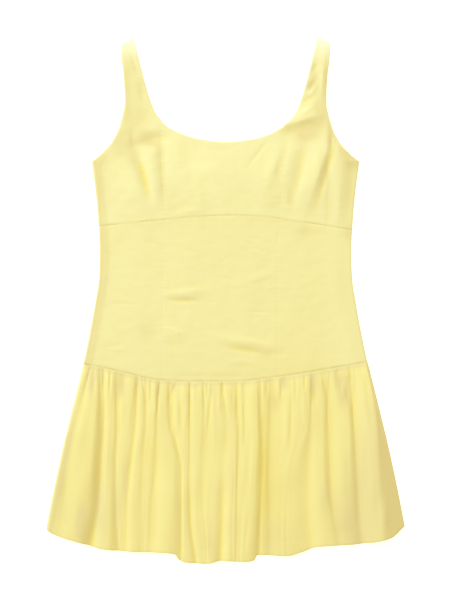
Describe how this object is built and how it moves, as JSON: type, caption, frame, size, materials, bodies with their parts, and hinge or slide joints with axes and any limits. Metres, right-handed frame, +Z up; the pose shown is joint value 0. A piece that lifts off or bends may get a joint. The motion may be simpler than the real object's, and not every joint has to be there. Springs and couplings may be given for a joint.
{
  "type": "sundress",
  "caption": "Sleeveless sundress laid flat on its back: wide straps, scoop neck, panelled bodice and a short skirt gathered at a dropped waist.",
  "frame": {"origin": "middle of the laid dress's bounding box, on the surface that the dress lies on", "axes": "+X to the wearer's left, +Y from the hem to the straps, +Z up off the surface, out of the front of the dress"},
  "size_m": [0.576, 0.846, 0.0205],
  "materials": {
    "yellow_cloth": "soft matt plain-woven cotton and linen cloth in pale lemon yellow"
  },
  "bodies": {
    "root": {"bust_centre": "yellow_cloth", "bust_side_right": "yellow_cloth", "bust_side_left": "yellow_cloth", "midriff_centre": "yellow_cloth", "midriff_side_right": "yellow_cloth", "midriff_side_left": "yellow_cloth", "skirt_front": "yellow_cloth", "bodice_back": "yellow_cloth", "skirt_back": "yellow_cloth"}
  },
  "joints": []
}
